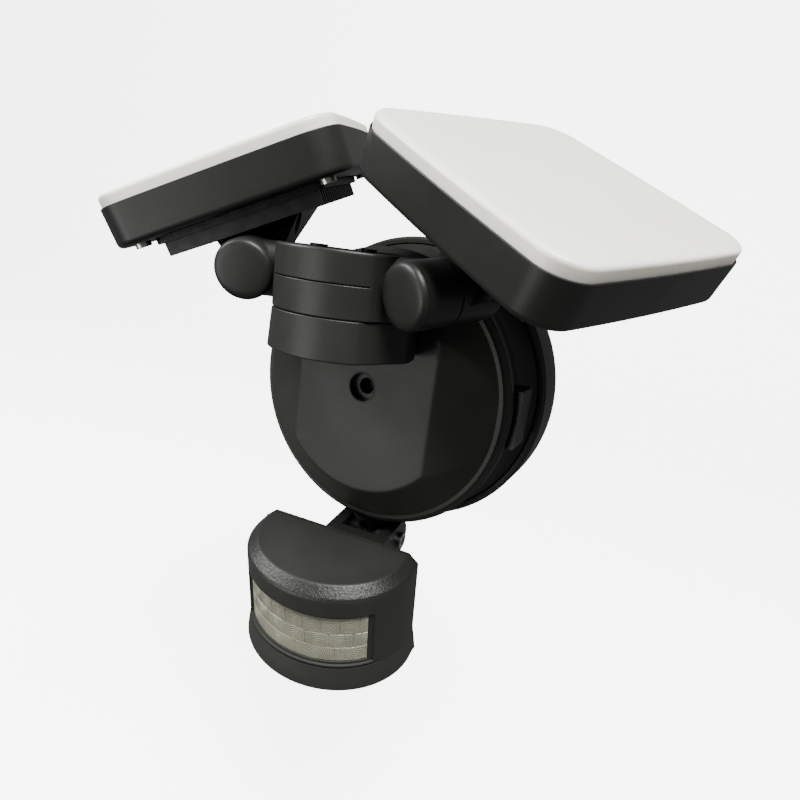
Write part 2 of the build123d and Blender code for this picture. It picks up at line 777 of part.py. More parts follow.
for side, name in ((1, "right"), (-1, "left")):
    make_arm(side, name)
    make_end_cap(side, name)
    make_tilt_fittings(side, name)
    make_bracket(side, name)
    make_heat_sink(side, name)
    make_head_shell(side, name)

# ---------------------------------------------------------------- motion sensor
EYE = sensor_plane()
EYE_SIDE = turned(EYE, (0, 0, 0), (0, 1, 0), (1, 0, 0))
EYE_FRONT = turned(EYE, (0, 0, 0), (1, 0, 0), (0, -1, 0))

with BuildPart() as sensor_neck:
    with BuildSketch(Plane.XY.offset(-47.8)):
        with Locations((0, neck_y)):
            Circle(7.6)
    extrude(amount=1.8)
    with BuildSketch(Plane.XY.offset(-63.0)):
        with Locations((0, neck_y)):
            Circle(6.0)
    extrude(amount=15.2)
    with BuildSketch(Plane.XY.offset(-63.2)):
        with Locations((0, neck_y)):
            Circle(9.8)
    extrude(amount=1.2)
    with BuildSketch(Plane.XY.offset(-63.2)):
        with Locations((0, neck_y)):
            Circle(9.2)
    with BuildSketch(Plane.XY.offset(pivot_z)):
        with Locations((0, neck_y)):
            Circle(7.4)
    loft()
    with BuildSketch(EYE_SIDE.offset(-ear_in + fit_gap)):
        Circle(ear_r - 0.8)
    extrude(amount=2 * (ear_in - fit_gap))
    with BuildSketch(EYE_SIDE.offset(-ear_in)):
        Circle(2.0 + running)
    extrude(amount=2 * ear_in, mode=Mode.SUBTRACT)
    # wire channel down the neck and out behind the sensor
    with BuildSketch(Plane.XY.offset(-67.0)):
        with Locations((0, neck_y)):
            Circle(2.6)
    extrude(amount=21.0, mode=Mode.SUBTRACT)
    with BuildSketch(FRONT.offset(-neck_y)):
        with Locations((0, -66.6)):
            Circle(2.4)
    extrude(amount=12.0, mode=Mode.SUBTRACT)
finish(sensor_neck.part, "sensor_neck")


def eye_outline(level, inset):
    """Plan of the sensor's front: short straight sides and a half ellipse, drawn in by an inset."""
    half = sensor_half - inset
    with BuildSketch(EYE.offset(level)) as outline:
        with BuildLine():
            EllipticalCenterArc((0, arc_y), half, sensor_nose - inset, start_angle=180, arc_size=180)
            Polyline((half, arc_y), (half, seam_y), (-half, seam_y), (-half, arc_y))
        make_face()
    return outline.sketch


def eye_band(low, high, outer, inner):
    """Curved band of the sensor's front between two insets and two levels."""
    with BuildPart() as band:
        extrude(eye_outline(low, outer), amount=high - low)
        extrude(eye_outline(low, inner), amount=high - low, mode=Mode.SUBTRACT)
    return band.part


def eye_window(margin, depth):
    """Block that reaches forwards through the sensor's window, grown by a margin."""
    with BuildPart() as block:
        with BuildSketch(EYE_FRONT.offset(depth)):
            with Locations((0, (window_top + window_bottom) / 2)):
                Rectangle(2 * (window_half + margin), window_top - window_bottom + 2 * margin)
        extrude(amount=50.0)
    return block.part


def knob_places():
    """Plan positions of the two setting knobs."""
    return [(-knob_x, knob_y), (knob_x, knob_y)]


with BuildPart() as sensor_front:
    extrude(eye_outline(flare_top, 0), amount=bevel_foot - flare_top)
    loft([eye_outline(bevel_foot, 0), eye_outline(sensor_top, bevel_inset)])
    loft([eye_outline(sensor_bottom, -flare), eye_outline(flare_top, 0)])
    extrude(eye_outline(sensor_bottom + wall_t, wall_t), amount=bevel_foot - sensor_bottom - wall_t,
            mode=Mode.SUBTRACT)
    add(eye_window(0, 45.0), mode=Mode.SUBTRACT)
    add(eye_band(window_bottom - 1.2, window_top + 1.2, -0.1, 0.9) & eye_window(1.2, 45.0), mode=Mode.SUBTRACT)
    add(eye_band(window_bottom - 2.9, window_bottom - 2.1, -0.1, 0.7) & eye_window(4.0, 45.0),
        mode=Mode.SUBTRACT)
    with BuildSketch(EYE.offset(sensor_bottom)):
        with Locations(*knob_places()):
            Circle(5.2)
    extrude(amount=1.4, mode=Mode.SUBTRACT)
    with BuildSketch(EYE.offset(sensor_bottom)):
        with Locations(*knob_places()):
            Circle(2.0 + running)
    extrude(amount=wall_t, mode=Mode.SUBTRACT)
    with BuildSketch(EYE_FRONT.offset(-seam_y)):
        with GridLocations(62.0, 26.0, 2, 2):
            Circle(3.0)
            Circle(1.2 + running, mode=Mode.SUBTRACT)
    extrude(amount=7.0)
finish(sensor_front.part, "sensor_front")

with BuildPart() as sensor_lens:
    add(eye_band(window_bottom + fit_gap, window_top - fit_gap, 1.3, 2.7) & eye_window(-fit_gap, 45.0))
    add(eye_band(window_bottom - 1.6, window_top + 1.6, 2.5, 3.6) & eye_window(1.6, 45.0))
finish(sensor_lens.part, "sensor_lens")

with BuildPart() as sensor_back:
    with BuildSketch(EYE_FRONT.offset(-sensor_rear)):
        with BuildLine():
            Polyline((-sensor_half - flare, sensor_bottom), (sensor_half + flare, sensor_bottom),
                     (sensor_half, flare_top), (sensor_half, bevel_foot),
                     (sensor_half - bevel_inset, sensor_top), (-sensor_half + bevel_inset, sensor_top),
                     (-sensor_half, bevel_foot), (-sensor_half, flare_top), close=True)
        make_face()
    extrude(amount=sensor_rear - seam_y - 0.2)
    fillet(sensor_back.edges().group_by(axis_of(EYE, (0, 1, 0)))[-1], 2.0)
    # posts for the circuit board
    with BuildSketch(EYE_FRONT.offset(-seam_y - 0.2)):
        with GridLocations(40.0, 20.0, 2, 2):
            Circle(2.4)
    extrude(amount=4.4)
    # yoke that carries the sensor on the neck
    with BuildSketch(EYE_SIDE.offset(-ear_out)):
        with BuildLine():
            Polyline((sensor_rear - 1.0, 11.5), (-13.5, 10.0), (-13.5, -10.0), (sensor_rear - 1.0, -15.0),
                     close=True)
        make_face()
    extrude(amount=2 * ear_out)
    for side in (1, -1):
        with BuildSketch(EYE_SIDE.offset(side * ear_in)):
            Circle(ear_r)
            with BuildLine():
                Polyline((-14.5, 10.1), (0, ear_r), (0, -ear_r), (-14.5, -10.1), close=True)
            make_face()
        extrude(amount=side * (ear_out - ear_in))
    with BuildSketch(EYE_SIDE.offset(-ear_out)):
        Circle(2.0 + running)
    extrude(amount=2 * ear_out, mode=Mode.SUBTRACT)
    with BuildSketch(EYE_FRONT.offset(-sensor_rear)):
        with GridLocations(62.0, 26.0, 2, 2):
            Circle(1.2 + running)
    extrude(amount=4.0, mode=Mode.SUBTRACT)
finish(sensor_back.part, "sensor_back")

with BuildPart() as sensor_screws:
    with BuildSketch(EYE_FRONT.offset(-sensor_rear)):
        with GridLocations(62.0, 26.0, 2, 2):
            Circle(2.3)
    extrude(amount=-1.3)
    with BuildSketch(EYE_FRONT.offset(-sensor_rear)):
        with GridLocations(62.0, 26.0, 2, 2):
            Circle(1.2)
    extrude(amount=8.5)
finish(sensor_screws.part, "sensor_screws")

with BuildPart() as sensor_bolt:
    with BuildSketch(EYE_SIDE.offset(ear_out)):
        Circle(3.8)
    extrude(amount=1.8)
    with BuildSketch(EYE_SIDE.offset(-ear_out - 3.4)):
        Circle(2.0)
    extrude(amount=2 * ear_out + 3.4)
    with BuildSketch(EYE_SIDE.offset(ear_out + 1.0)):
        Rectangle(0.9, 5.0)
        Rectangle(5.0, 0.9)
    extrude(amount=0.8, mode=Mode.SUBTRACT)
finish(sensor_bolt.part, "sensor_bolt")

with BuildPart() as sensor_nut:
    with BuildSketch(EYE_SIDE.offset(-ear_out)):
        RegularPolygon(4.0, 6)
        Circle(2.0, mode=Mode.SUBTRACT)
    extrude(amount=-3.0)
finish(sensor_nut.part, "sensor_nut")

with BuildPart() as sensor_board:
    with BuildSketch(EYE_FRONT.offset(-seam_y + 4.2)):
        RectangleRounded(48.0, 34.0, 2.0)
    extrude(amount=1.6)
finish(sensor_board.part, "sensor_board")

with BuildPart() as pyro_element:
    with BuildSketch(EYE_FRONT.offset(-seam_y + 5.8)):
        Circle(4.7)
    extrude(amount=0.6)
    with BuildSketch(EYE_FRONT.offset(-seam_y + 6.4)):
        Circle(4.2)
    extrude(amount=3.6)
    with BuildSketch(EYE_FRONT.offset(-seam_y + 9.8)):
        Rectangle(4.0, 3.0)
    extrude(amount=0.2, mode=Mode.SUBTRACT)
finish(pyro_element.part, "pyro_element")

for side, name in ((1, "lux"), (-1, "time")):
    with BuildPart() as knob:
        with BuildSketch(EYE.offset(sensor_bottom + 1.2)):
            with Locations((side * knob_x, knob_y)):
                Circle(4.8)
        extrude(amount=-2.2)
        chamfer(knob.faces().sort_by(axis_of(EYE, (0, 0, 1)))[0].edges(), 0.4)
        with BuildSketch(EYE.offset(sensor_bottom + 1.2)):
            with Locations((side * knob_x, knob_y)):
                Circle(2.0)
        extrude(amount=3.0)
        with BuildSketch(EYE.offset(sensor_bottom + wall_t + 0.2)):
            with Locations((side * knob_x, knob_y)):
                Circle(2.8)
        extrude(amount=1.4)
        with BuildSketch(EYE.offset(sensor_bottom - 1.0)):
            with Locations((side * knob_x, knob_y)):
                Rectangle(1.0, 6.6)
        extrude(amount=1.2, mode=Mode.SUBTRACT)
    finish(knob.part, f"{name}_knob")
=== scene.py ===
"""Twin-head flood light: finished surfaces, finishes, stage, light and camera round the CAD frame."""
import json
import bpy
import numpy as np
from mathutils import Matrix


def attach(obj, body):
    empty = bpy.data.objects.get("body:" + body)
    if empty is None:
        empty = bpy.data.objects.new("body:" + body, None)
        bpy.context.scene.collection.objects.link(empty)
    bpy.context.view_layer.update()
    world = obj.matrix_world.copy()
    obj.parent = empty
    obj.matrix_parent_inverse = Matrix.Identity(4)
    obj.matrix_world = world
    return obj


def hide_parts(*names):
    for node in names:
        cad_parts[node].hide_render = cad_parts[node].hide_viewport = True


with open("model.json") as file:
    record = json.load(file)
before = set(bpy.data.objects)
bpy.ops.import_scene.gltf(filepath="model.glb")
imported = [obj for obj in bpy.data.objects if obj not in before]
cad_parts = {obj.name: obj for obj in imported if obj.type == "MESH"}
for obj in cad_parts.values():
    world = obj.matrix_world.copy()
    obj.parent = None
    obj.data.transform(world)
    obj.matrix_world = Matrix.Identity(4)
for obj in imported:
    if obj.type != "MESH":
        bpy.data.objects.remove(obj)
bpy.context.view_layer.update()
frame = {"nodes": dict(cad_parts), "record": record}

MM = 0.001

# ------------------------------------------------------------------ places, in millimetres
HUB_Y = -77.6
ARM_Z = 46.3
ARM_REACH = 37.9
ARM_SET_BACK = 3.0
TOE = np.radians(24.0)
ARM_ROLL = np.radians(8.4)
HEAD_LEAN = {"right": np.radians(26.5), "left": -np.radians(24.0)}
HEAD_CENTRE = 42.0
HEAD_HALF, HEAD_CORNER, HEAD_BOW = 47.5, 12.0, 1.0
SIDES = {"right": 1, "left": -1}
HUB_R, SKIRT_R = 26.6, 27.6
HUB_WALL_FLAT, HUB_ARM_FLAT = 17.2, 25.6    # distances of the hub's flats from its middle
COVER_R, COVER_DEPTH = 60.0, 60.0
FACET_X, FACET_FALL = 32.0, np.radians(23.0)
RECESS_Z = 3.0                              # height of the cover screw's recess
PIVOT = np.array([0.0, -36.0, -72.8])       # where the sensor tilts
SENSOR_YAW, SENSOR_NOD = np.radians(5.7), np.radians(9.35)
SENSOR_HALF, SENSOR_NOSE, ARC_Y, SEAM_Y = 36.0, 30.3, -38.2, -33.6
WINDOW = (27.6, -13.0, 8.7)                 # half width, bottom and top
LENS_SPAN = 66.0                            # width that the rows of lens cells divide
BASE_AXES = (np.zeros(3), np.eye(3))


def arm_axes(side):
    """Origin and axes (X right, Y back, Z up) of an arm: toed out, then rolled about its own X."""
    out = np.array([side * np.cos(TOE), -np.sin(TOE), 0.0])
    back = np.array([side * np.sin(TOE), np.cos(TOE), 0.0])
    origin = np.array([0.0, HUB_Y, ARM_Z]) + out * ARM_REACH + back * ARM_SET_BACK
    x = out * side
    level = np.cross([0.0, 0.0, 1.0], x)
    up = np.array([0.0, 0.0, 1.0])
    y = level * np.cos(ARM_ROLL) + up * np.sin(ARM_ROLL)
    return origin, np.array([x, y, np.cross(x, y)])


def head_axes(name):
    """The arm's axes turned about the barrel by the head's lean, origin under the head's middle."""
    origin, (x, y, z) = arm_axes(SIDES[name])
    lean = HEAD_LEAN[name]
    return origin + y * HEAD_CENTRE, np.array([x * np.cos(lean) - z * np.sin(lean), y,
                                               x * np.sin(lean) + z * np.cos(lean)])


def eye_axes():
    """Origin on the sensor's pivot, turned to the right and nosed down."""
    x = np.array([np.cos(SENSOR_YAW), np.sin(SENSOR_YAW), 0.0])
    level = np.cross([0.0, 0.0, 1.0], x)
    up = np.array([0.0, 0.0, 1.0])
    y = level * np.cos(SENSOR_NOD) + up * np.sin(SENSOR_NOD)
    return PIVOT, np.array([x, y, np.cross(x, y)])


# ------------------------------------------------------------------ colours and materials
def srgb(hex_code):
    """sRGB hex to linear RGBA: the low part of the curve is a straight line, the rest a power."""
    c = np.array([int(hex_code[i:i + 2], 16) for i in (0, 2, 4)]) / 255.0
    c = np.where(c <= 0.04045, c / 12.92, ((c + 0.055) / 1.055) ** 2.4)
    return (*c.tolist(), 1.0)


def add(tree, kind, inputs=None, **settings):
    """Adds one node with its settings; an input is either a value or another node's output."""
    made = tree.nodes.new(kind)
    for key, value in settings.items():
        setattr(made, key, value)
    for key, value in (inputs or {}).items():
        if isinstance(value, bpy.types.NodeSocket):
            tree.links.new(value, made.inputs[key])
        else:
            made.inputs[key].default_value = value
    return made


def material(name):
    """An empty node material with its output: returns (material, tree, output node)."""
    made = bpy.data.materials.new(name)
    made.use_nodes = True
    made.node_tree.nodes.clear()
    return made, made.node_tree, made.node_tree.nodes.new("ShaderNodeOutputMaterial")


def ramp(tree, factor, stops):
    """Colour ramp over a factor, from (position, colour) stops."""
    made = add(tree, "ShaderNodeValToRGB", {"Fac": factor})
    band = made.color_ramp
    while len(band.elements) < len(stops):
        band.elements.new(0.5)
    for element, (at, colour) in zip(band.elements, stops):
        element.position = at
        element.color = colour
    return made


def grey(value):
    """A grey as RGBA."""
    return (value, value, value, 1.0)


def moulded(name, tone, worn, grit_mm, grit_depth, rough, spread, dirt=0.35):
    """Injection-moulded plastic. Grit is the mould's spark-eroded texture (cell size in mm); a slow
    cloud changes tone and gloss the way flow and handling do, and fine specks are settled dust. The
    specular level is about half the usual one, set so that the plastic stays dark here."""
    made, tree, out = material(name)
    place = add(tree, "ShaderNodeTexCoord").outputs["Object"]
    cloud = add(tree, "ShaderNodeTexNoise", {"Vector": place, "Scale": 1 / (28 * MM), "Detail": 3.0,
                                            "Roughness": 0.55}).outputs["Fac"]
    grit = add(tree, "ShaderNodeTexNoise", {"Vector": place, "Scale": 1 / (grit_mm * MM), "Detail": 4.0,
                                           "Roughness": 0.62}).outputs["Fac"]
    cells = add(tree, "ShaderNodeTexVoronoi", {"Vector": place, "Scale": 1 / (1.6 * grit_mm * MM)},
                feature="SMOOTH_F1").outputs["Distance"]
    dust = add(tree, "ShaderNodeTexNoise", {"Vector": place, "Scale": 1 / (1.1 * MM), "Detail": 6.0,
                                           "Roughness": 0.8}).outputs["Fac"]
    specks = ramp(tree, dust, [(0.66, grey(0.0)), (0.76, grey(1.0))]).outputs["Color"]
    tint = ramp(tree, cloud, [(0.3, srgb(tone)), (0.75, srgb(worn))]).outputs["Color"]
    amount = add(tree, "ShaderNodeMath", {0: specks, 1: dirt * 0.22}, operation="MULTIPLY").outputs[0]
    colour = add(tree, "ShaderNodeMix", {0: amount, 6: tint, 7: srgb("8c8a80")},
                 data_type="RGBA").outputs[2]
    gloss = add(tree, "ShaderNodeMapRange", {"Value": cloud, "From Min": 0.3, "From Max": 0.75,
                                            "To Min": rough - spread, "To Max": rough + spread}).outputs[0]
    low = add(tree, "ShaderNodeBump", {"Height": cells, "Strength": 0.35, "Distance": grit_depth * MM})
    high = add(tree, "ShaderNodeBump", {"Height": grit, "Strength": 0.6, "Distance": grit_depth * MM,
                                        "Normal": low.outputs[0]})
    body = add(tree, "ShaderNodeBsdfPrincipled", {"Base Color": colour, "Roughness": gloss, "IOR": 1.53,
                                                  "Specular IOR Level": 0.24, "Normal": high.outputs[0]})
    tree.links.new(body.outputs[0], out.inputs[0])
    return made


def metal(name, tone, shade, rough, stretch, metallic=1.0):
    """Bare or plated metal: a fine drawn or turned grain along one axis breaks up the highlight, and
    slow patches of thinner plating or oxide change the tone."""
    made, tree, out = material(name)
    place = add(tree, "ShaderNodeTexCoord").outputs["Object"]
    drawn = add(tree, "ShaderNodeMapping", {"Vector": place, "Scale": stretch}).outputs[0]
    grain = add(tree, "ShaderNodeTexNoise", {"Vector": drawn, "Scale": 1 / (0.5 * MM),
                                             "Detail": 3.0}).outputs["Fac"]
    patch = add(tree, "ShaderNodeTexNoise", {"Vector": place, "Scale": 1 / (6 * MM),
                                             "Detail": 2.0}).outputs["Fac"]
    colour = ramp(tree, patch, [(0.35, srgb(tone)), (0.7, srgb(shade))]).outputs["Color"]
    gloss = add(tree, "ShaderNodeMapRange", {"Value": grain, "From Min": 0.3, "From Max": 0.7,
                                            "To Min": rough - 0.08, "To Max": rough + 0.1}).outputs[0]
    relief = add(tree, "ShaderNodeBump", {"Height": grain, "Strength": 0.25, "Distance": 0.04 * MM})
    body = add(tree, "ShaderNodeBsdfPrincipled", {"Base Color": colour, "Roughness": gloss,
                                                  "Metallic": metallic, "Normal": relief.outputs[0]})
    tree.links.new(body.outputs[0], out.inputs[0])
    return made


def opal_acrylic():
    """Opal PMMA, moulded glossy: light goes a few millimetres in and comes back warm white, the skin
    keeps a soft sharp reflection, and faint flow streaks and dust lie in it."""
    made, tree, out = material("opal acrylic diffuser")
    place = add(tree, "ShaderNodeTexCoord").outputs["Object"]
    cloud = add(tree, "ShaderNodeTexNoise", {"Vector": place, "Scale": 1 / (35 * MM),
                                             "Detail": 2.0}).outputs["Fac"]
    frost = add(tree, "ShaderNodeTexNoise", {"Vector": place, "Scale": 1 / (0.6 * MM),
                                             "Detail": 3.0}).outputs["Fac"]
    colour = ramp(tree, cloud, [(0.3, srgb("f6f4ec")), (0.75, srgb("f1eee4"))]).outputs["Color"]
    gloss = add(tree, "ShaderNodeMapRange", {"Value": frost, "From Min": 0.3, "From Max": 0.7,
                                            "To Min": 0.32, "To Max": 0.42}).outputs[0]
    relief = add(tree, "ShaderNodeBump", {"Height": frost, "Strength": 0.12, "Distance": 0.03 * MM})
    body = add(tree, "ShaderNodeBsdfPrincipled",
               {"Base Color": colour, "Roughness": gloss, "IOR": 1.49, "Subsurface Weight": 0.35,
                "Subsurface Radius": (1.0, 0.9, 0.75), "Subsurface Scale": 2.5 * MM,
                "Coat Weight": 0.25, "Coat Roughness": 0.12, "Normal": relief.outputs[0]})
    tree.links.new(body.outputs[0], out.inputs[0])
    return made


def milky_lens():
    """Thin natural HDPE, waxy: its mid grey colour is painted shade for the dark, unlit inside seen through
    the half clear plastic; its rings are geometry.
    """
    made, tree, out = material("milky polyethylene lens")
    place = add(tree, "ShaderNodeTexCoord").outputs["Object"]
    cloud = add(tree, "ShaderNodeTexNoise", {"Vector": place, "Scale": 1 / (9 * MM),
                                             "Detail": 3.0}).outputs["Fac"]
    wax = add(tree, "ShaderNodeTexNoise", {"Vector": place, "Scale": 1 / (0.4 * MM),
                                           "Detail": 3.0}).outputs["Fac"]
    # The mid grey stops are painted shade for the dark inside behind the lens; the cloud varies the tone at
    # random
    colour = ramp(tree, cloud, [(0.3, srgb("7a7869")), (0.75, srgb("8a8878"))]).outputs["Color"]
    relief = add(tree, "ShaderNodeBump", {"Height": wax, "Strength": 0.2, "Distance": 0.02 * MM})
    body = add(tree, "ShaderNodeBsdfPrincipled",
               {"Base Color": colour, "Roughness": 0.38, "IOR": 1.54, "Subsurface Weight": 0.3,
                "Subsurface Radius": (1.0, 0.95, 0.8), "Subsurface Scale": 0.8 * MM,
                "Normal": relief.outputs[0]})
    tree.links.new(body.outputs[0], out.inputs[0])
    return made


def laminate(name, mask, copper):
    """Printed circuit board: glossy solder mask with slightly raised tracks on a square grid."""
    made, tree, out = material(name)
    place = add(tree, "ShaderNodeTexCoord").outputs["Object"]
    tracks = add(tree, "ShaderNodeTexBrick",
                 {"Vector": place, "Scale": 1 / (9 * MM), "Mortar Size": 0.05, "Color1": grey(0.0),
                  "Color2": grey(0.1), "Mortar": grey(1.0)}).outputs[0]
    colour = add(tree, "ShaderNodeMix", {0: tracks, 6: srgb(mask), 7: srgb(copper)},
                 data_type="RGBA").outputs[2]
    relief = add(tree, "ShaderNodeBump", {"Height": tracks, "Strength": 0.5, "Distance": 0.05 * MM})
    body = add(tree, "ShaderNodeBsdfPrincipled", {"Base Color": colour, "Roughness": 0.32,
                                                  "Normal": relief.outputs[0]})
    tree.links.new(body.outputs[0], out.inputs[0])
    return made


# Charcoal ABS from a spark-eroded mould: nearly black, satin, with a grain of about 0.3 mm
abs_fine = moulded("charcoal ABS fine grain", "242422", "2b2b28", 0.32, 0.03, 0.48, 0.05)
# The same ABS from a stoned mould: smoother, so edges glint more
abs_satin = moulded("charcoal ABS satin", "1d1d1c", "232321", 0.5, 0.012, 0.42, 0.05)
# The sensor's bevel and front: a coarse spark-eroded grain of about 0.7 mm that glitters
abs_coarse = moulded("charcoal ABS coarse grain", "1b1b1a", "222220", 0.7, 0.25, 0.34, 0.05)
# Polypropylene clips: a little waxier and blacker
pp_clip = moulded("black polypropylene", "141413", "181817", 0.5, 0.015, 0.44, 0.04)
# Nylon knobs and terminal
nylon_black = moulded("black nylon", "1e1e1e", "262625", 0.4, 0.02, 0.4, 0.05)
nylon_white = moulded("natural nylon", "d8d4c6", "cdc8b6", 0.5, 0.015, 0.42, 0.05)
# EPDM sponge rubber: matt and open
epdm = moulded("EPDM seal rubber", "1b1b1b", "222221", 0.6, 0.12, 0.75, 0.08)
# Black anodised pressure die cast aluminium: satin, slightly uneven
anodised = metal("black anodised aluminium", "2a2a2b", "343434", 0.42, (1.0, 1.0, 1.0), 0.75)
# Zinc-plated steel screws: bright, slightly yellow grey
zinc = metal("zinc plated steel", "b8b6b0", "a3a199", 0.3, (1.0, 6.0, 1.0))
# Nickel-plated can of the pyroelectric element
nickel = metal("nickel plated can", "c9c5bb", "b5b0a4", 0.22, (1.0, 6.0, 1.0))
# Aluminium can in a black sleeve
sleeve = moulded("shrink sleeve", "14141c", "1c1c26", 0.8, 0.01, 0.28, 0.04)
# Ferrite core with yellow polyester tape
tape = moulded("polyester tape", "b58a1c", "a27c1b", 0.9, 0.02, 0.35, 0.05)
# LED packages: soft silicone over phosphor
phosphor = moulded("phosphor silicone", "e0c24a", "d6b640", 0.6, 0.02, 0.3, 0.05, 0.0)
# Black oxide on steel: dark blue grey with a soft glint
black_oxide = metal("black oxide screws", "2c2c2e", "38383a", 0.34, (1.0, 6.0, 1.0))
green_board = laminate("green solder mask", "1d5a35", "3f8a58")
white_board = laminate("white solder mask", "e6e6e0", "d6d4ca")
acrylic = opal_acrylic()
lens_plastic = milky_lens()

FINISH = {"body_plastic": abs_fine, "hub_plastic": abs_fine, "arm_plastic": abs_satin,
          "clip_plastic": pp_clip, "head_plastic": abs_satin, "diffuser_acrylic": acrylic,
          "sink_aluminium": anodised, "sensor_plastic": abs_coarse, "lens_polyethylene": lens_plastic,
          "knob_plastic": nylon_black,
          "seal_rubber": epdm, "washer_nylon": nylon_white, "zinc_steel": zinc,
          "terminal_plastic": nylon_white, "board_laminate": green_board, "white_board": white_board,
          "led_package": phosphor, "transformer_core": tape, "capacitor_can": sleeve, "element_can": nickel}

for part in frame["record"]["subparts"]:
    shown = frame["nodes"][part["node"]]
    for place in shown.material_slots:
        place.material = black_oxide if part["node"] == "hub_screws" else FINISH[part["material_slot"]]


# ------------------------------------------------------------------ surface tools
def put(name, points, faces, axes, finish, body, stands_for=(), pick=None):
    """A mesh from points given in a local frame: faces are turned outwards by the sign of the
    enclosed volume, edges sharper than 35 degrees stay crisp, and it rides on a body. With several
    finishes, pick gives each face's finish from its local centre."""
    origin, (x, y, z) = axes
    world = (origin + points[:, :1] * x + points[:, 1:2] * y + points[:, 2:3] * z) * MM
    volume = 0.0
    for group in faces:
        a, b = world[group[:, 0]], world[group[:, 1]]
        for k in range(2, group.shape[1]):
            c = world[group[:, k]]
            volume += np.einsum("ij,ij->i", a, np.cross(b, c)).sum()
            b = c
    turned = [group if volume > 0 else group[:, ::-1] for group in faces]
    mesh = bpy.data.meshes.new(name)
    mesh.from_pydata(world.tolist(), [], [face for group in turned for face in group.tolist()])
    mesh.shade_smooth()
    mesh.set_sharp_from_angle(angle=np.radians(35))
    for one in finish if isinstance(finish, list) else [finish]:
        mesh.materials.append(one)
    if pick:
        middles = np.vstack([points[group].mean(axis=1) for group in faces])
        mesh.polygons.foreach_set("material_index", pick(middles).astype(np.int32))
    piece = bpy.data.objects.new(name, mesh)
    bpy.context.collection.objects.link(piece)
    weighted = piece.modifiers.new("face weights", "WEIGHTED_NORMAL")
    weighted.keep_sharp = True
    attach(piece, body)
    if stands_for:
        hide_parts(*stands_for)
    return piece


def lace(rings, closed):
    """Points and faces of rings joined in turn. A closed stack joins its last ring to its first; an
    open one gets a fan round the middle of each end."""
    k, n, _ = rings.shape
    points = rings.reshape(-1, 3)
    i = np.arange(k if closed else k - 1)[:, None]
    j = np.arange(n)[None, :]
    up, on = (i + 1) % k, (j + 1) % n
    quads = np.stack([i * n + j, i * n + on, up * n + on, up * n + j], axis=-1).reshape(-1, 4)
    if closed:
        return points, [quads]
    middles = np.array([rings[0].mean(axis=0), rings[-1].mean(axis=0)])
    j, on = j[0], on[0]
    low = np.stack([j, np.full(n, k * n), on], axis=-1)
    high = np.stack([(k - 1) * n + j, (k - 1) * n + on, np.full(n, k * n + 1)], axis=-1)
    return np.vstack([points, middles]), [quads, np.vstack([low, high])]


def eased(points, radii, steps=5, closed=False):
    """A polyline whose corners are replaced by short parabolas reaching a radius along each side."""
    p = np.array(points, float)
    s = np.linspace(0, 1, steps + 1)[:, None]
    line = []
    for k in range(len(p)):
        if not closed and k in (0, len(p) - 1) or radii[k] == 0:
            line.append(p[k:k + 1])
            continue
        a, b = p[k - 1] - p[k], p[(k + 1) % len(p)] - p[k]
        la, lb = np.linalg.norm(a), np.linalg.norm(b)
        start = p[k] + a / la * min(radii[k], 0.49 * la)
        end = p[k] + b / lb * min(radii[k], 0.49 * lb)
        line.append((1 - s) ** 2 * start + 2 * s * (1 - s) * p[k] + s ** 2 * end)
    return np.vstack(line)


def spun(profile, count=192):
    """Rings about the local Y axis: each profile point (radius, depth) makes a circle at -depth."""
    turn = np.linspace(0, 2 * np.pi, count, endpoint=False)
    r, d = profile[:, :1], profile[:, 1:2]
    return np.stack([r * np.cos(turn), -d * np.ones_like(turn), r * np.sin(turn)], axis=-1)


def stood(profile, centre, count=192):
    """Rings about a vertical line: each profile point (radius, height) makes a level circle."""
    turn = np.linspace(0, 2 * np.pi, count, endpoint=False)
    r, h = profile[:, :1], profile[:, 1:2]
    x, y = centre[0] + r * np.cos(turn), centre[1] + r * np.sin(turn)
    return np.stack([x, y, h * np.ones_like(turn)], axis=-1)


def upright(profile, outline):
    """Rings at the profile's heights, each the outline function drawn in by the profile's inset."""
    return np.stack([np.column_stack([outline(inset), np.full(len(outline(inset)), height)])
                     for inset, height in profile])


def head_outline(inset):
    """A square with round corners, drawn in by an inset, its sides bowed outwards by a parabola."""
    half, corner = HEAD_HALF - inset, max(HEAD_CORNER - inset, 1.2)
    turn = np.radians(np.linspace(0, 90, 15))
    arc = np.column_stack([np.cos(turn), np.sin(turn)]) * corner + half - corner
    t = np.linspace(0, 1, 16, endpoint=False)[1:, None]
    quarter = np.vstack([arc, arc[-1] * (1 - t) + (arc[-1] * (-1, 1)) * t])
    spin = [np.array([[1, 0], [0, 1]]), np.array([[0, 1], [-1, 0]]), np.array([[-1, 0], [0, -1]]),
            np.array([[0, -1], [1, 0]])]
    square = np.vstack([quarter @ m for m in spin])
    bulge = (1 - (square[:, ::-1] / half) ** 2) * (np.abs(square) / half) ** 2
    return square * (1 + (HEAD_BOW / half) * bulge)


# ------------------------------------------------------------------ lamp heads
for name in SIDES:
    axes = head_axes(name)
    wall = eased([(11.2, 20.0), (0.0, 20.0), (0.0, 35.0), (0.5, 35.0), (0.5, 34.4), (2.4, 34.4), (2.4, 22.4),
                  (11.2, 22.4)], [0, 2.4, 0.5, 0, 0.1, 0.3, 0.3, 0], 6)
    points, faces = lace(upright(wall, head_outline), True)
    put(f"{name}_housing_skin", points, faces, axes, abs_satin, f"{name}_head",
        [f"{name}_head_shell"])

    # Diffuser: straight lip, round shoulder, then a face that crowns by a third of a millimetre
    lip = eased([(2.6, 33.6), (0.8, 33.6), (0.8, 39.2), (3.6, 39.62)], [0, 0.2, 1.5, 0], 8)
    crown = np.linspace(3.6, 46.0, 22)
    top = np.column_stack([crown, 39.62 + 0.34 * (1 - ((HEAD_HALF - crown) / 43.9) ** 2)])
    points, faces = lace(upright(np.vstack([lip, top[1:]]), head_outline), False)
    put(f"{name}_opal_face", points, faces, axes, acrylic, f"{name}_head",
        [f"{name}_diffuser"])


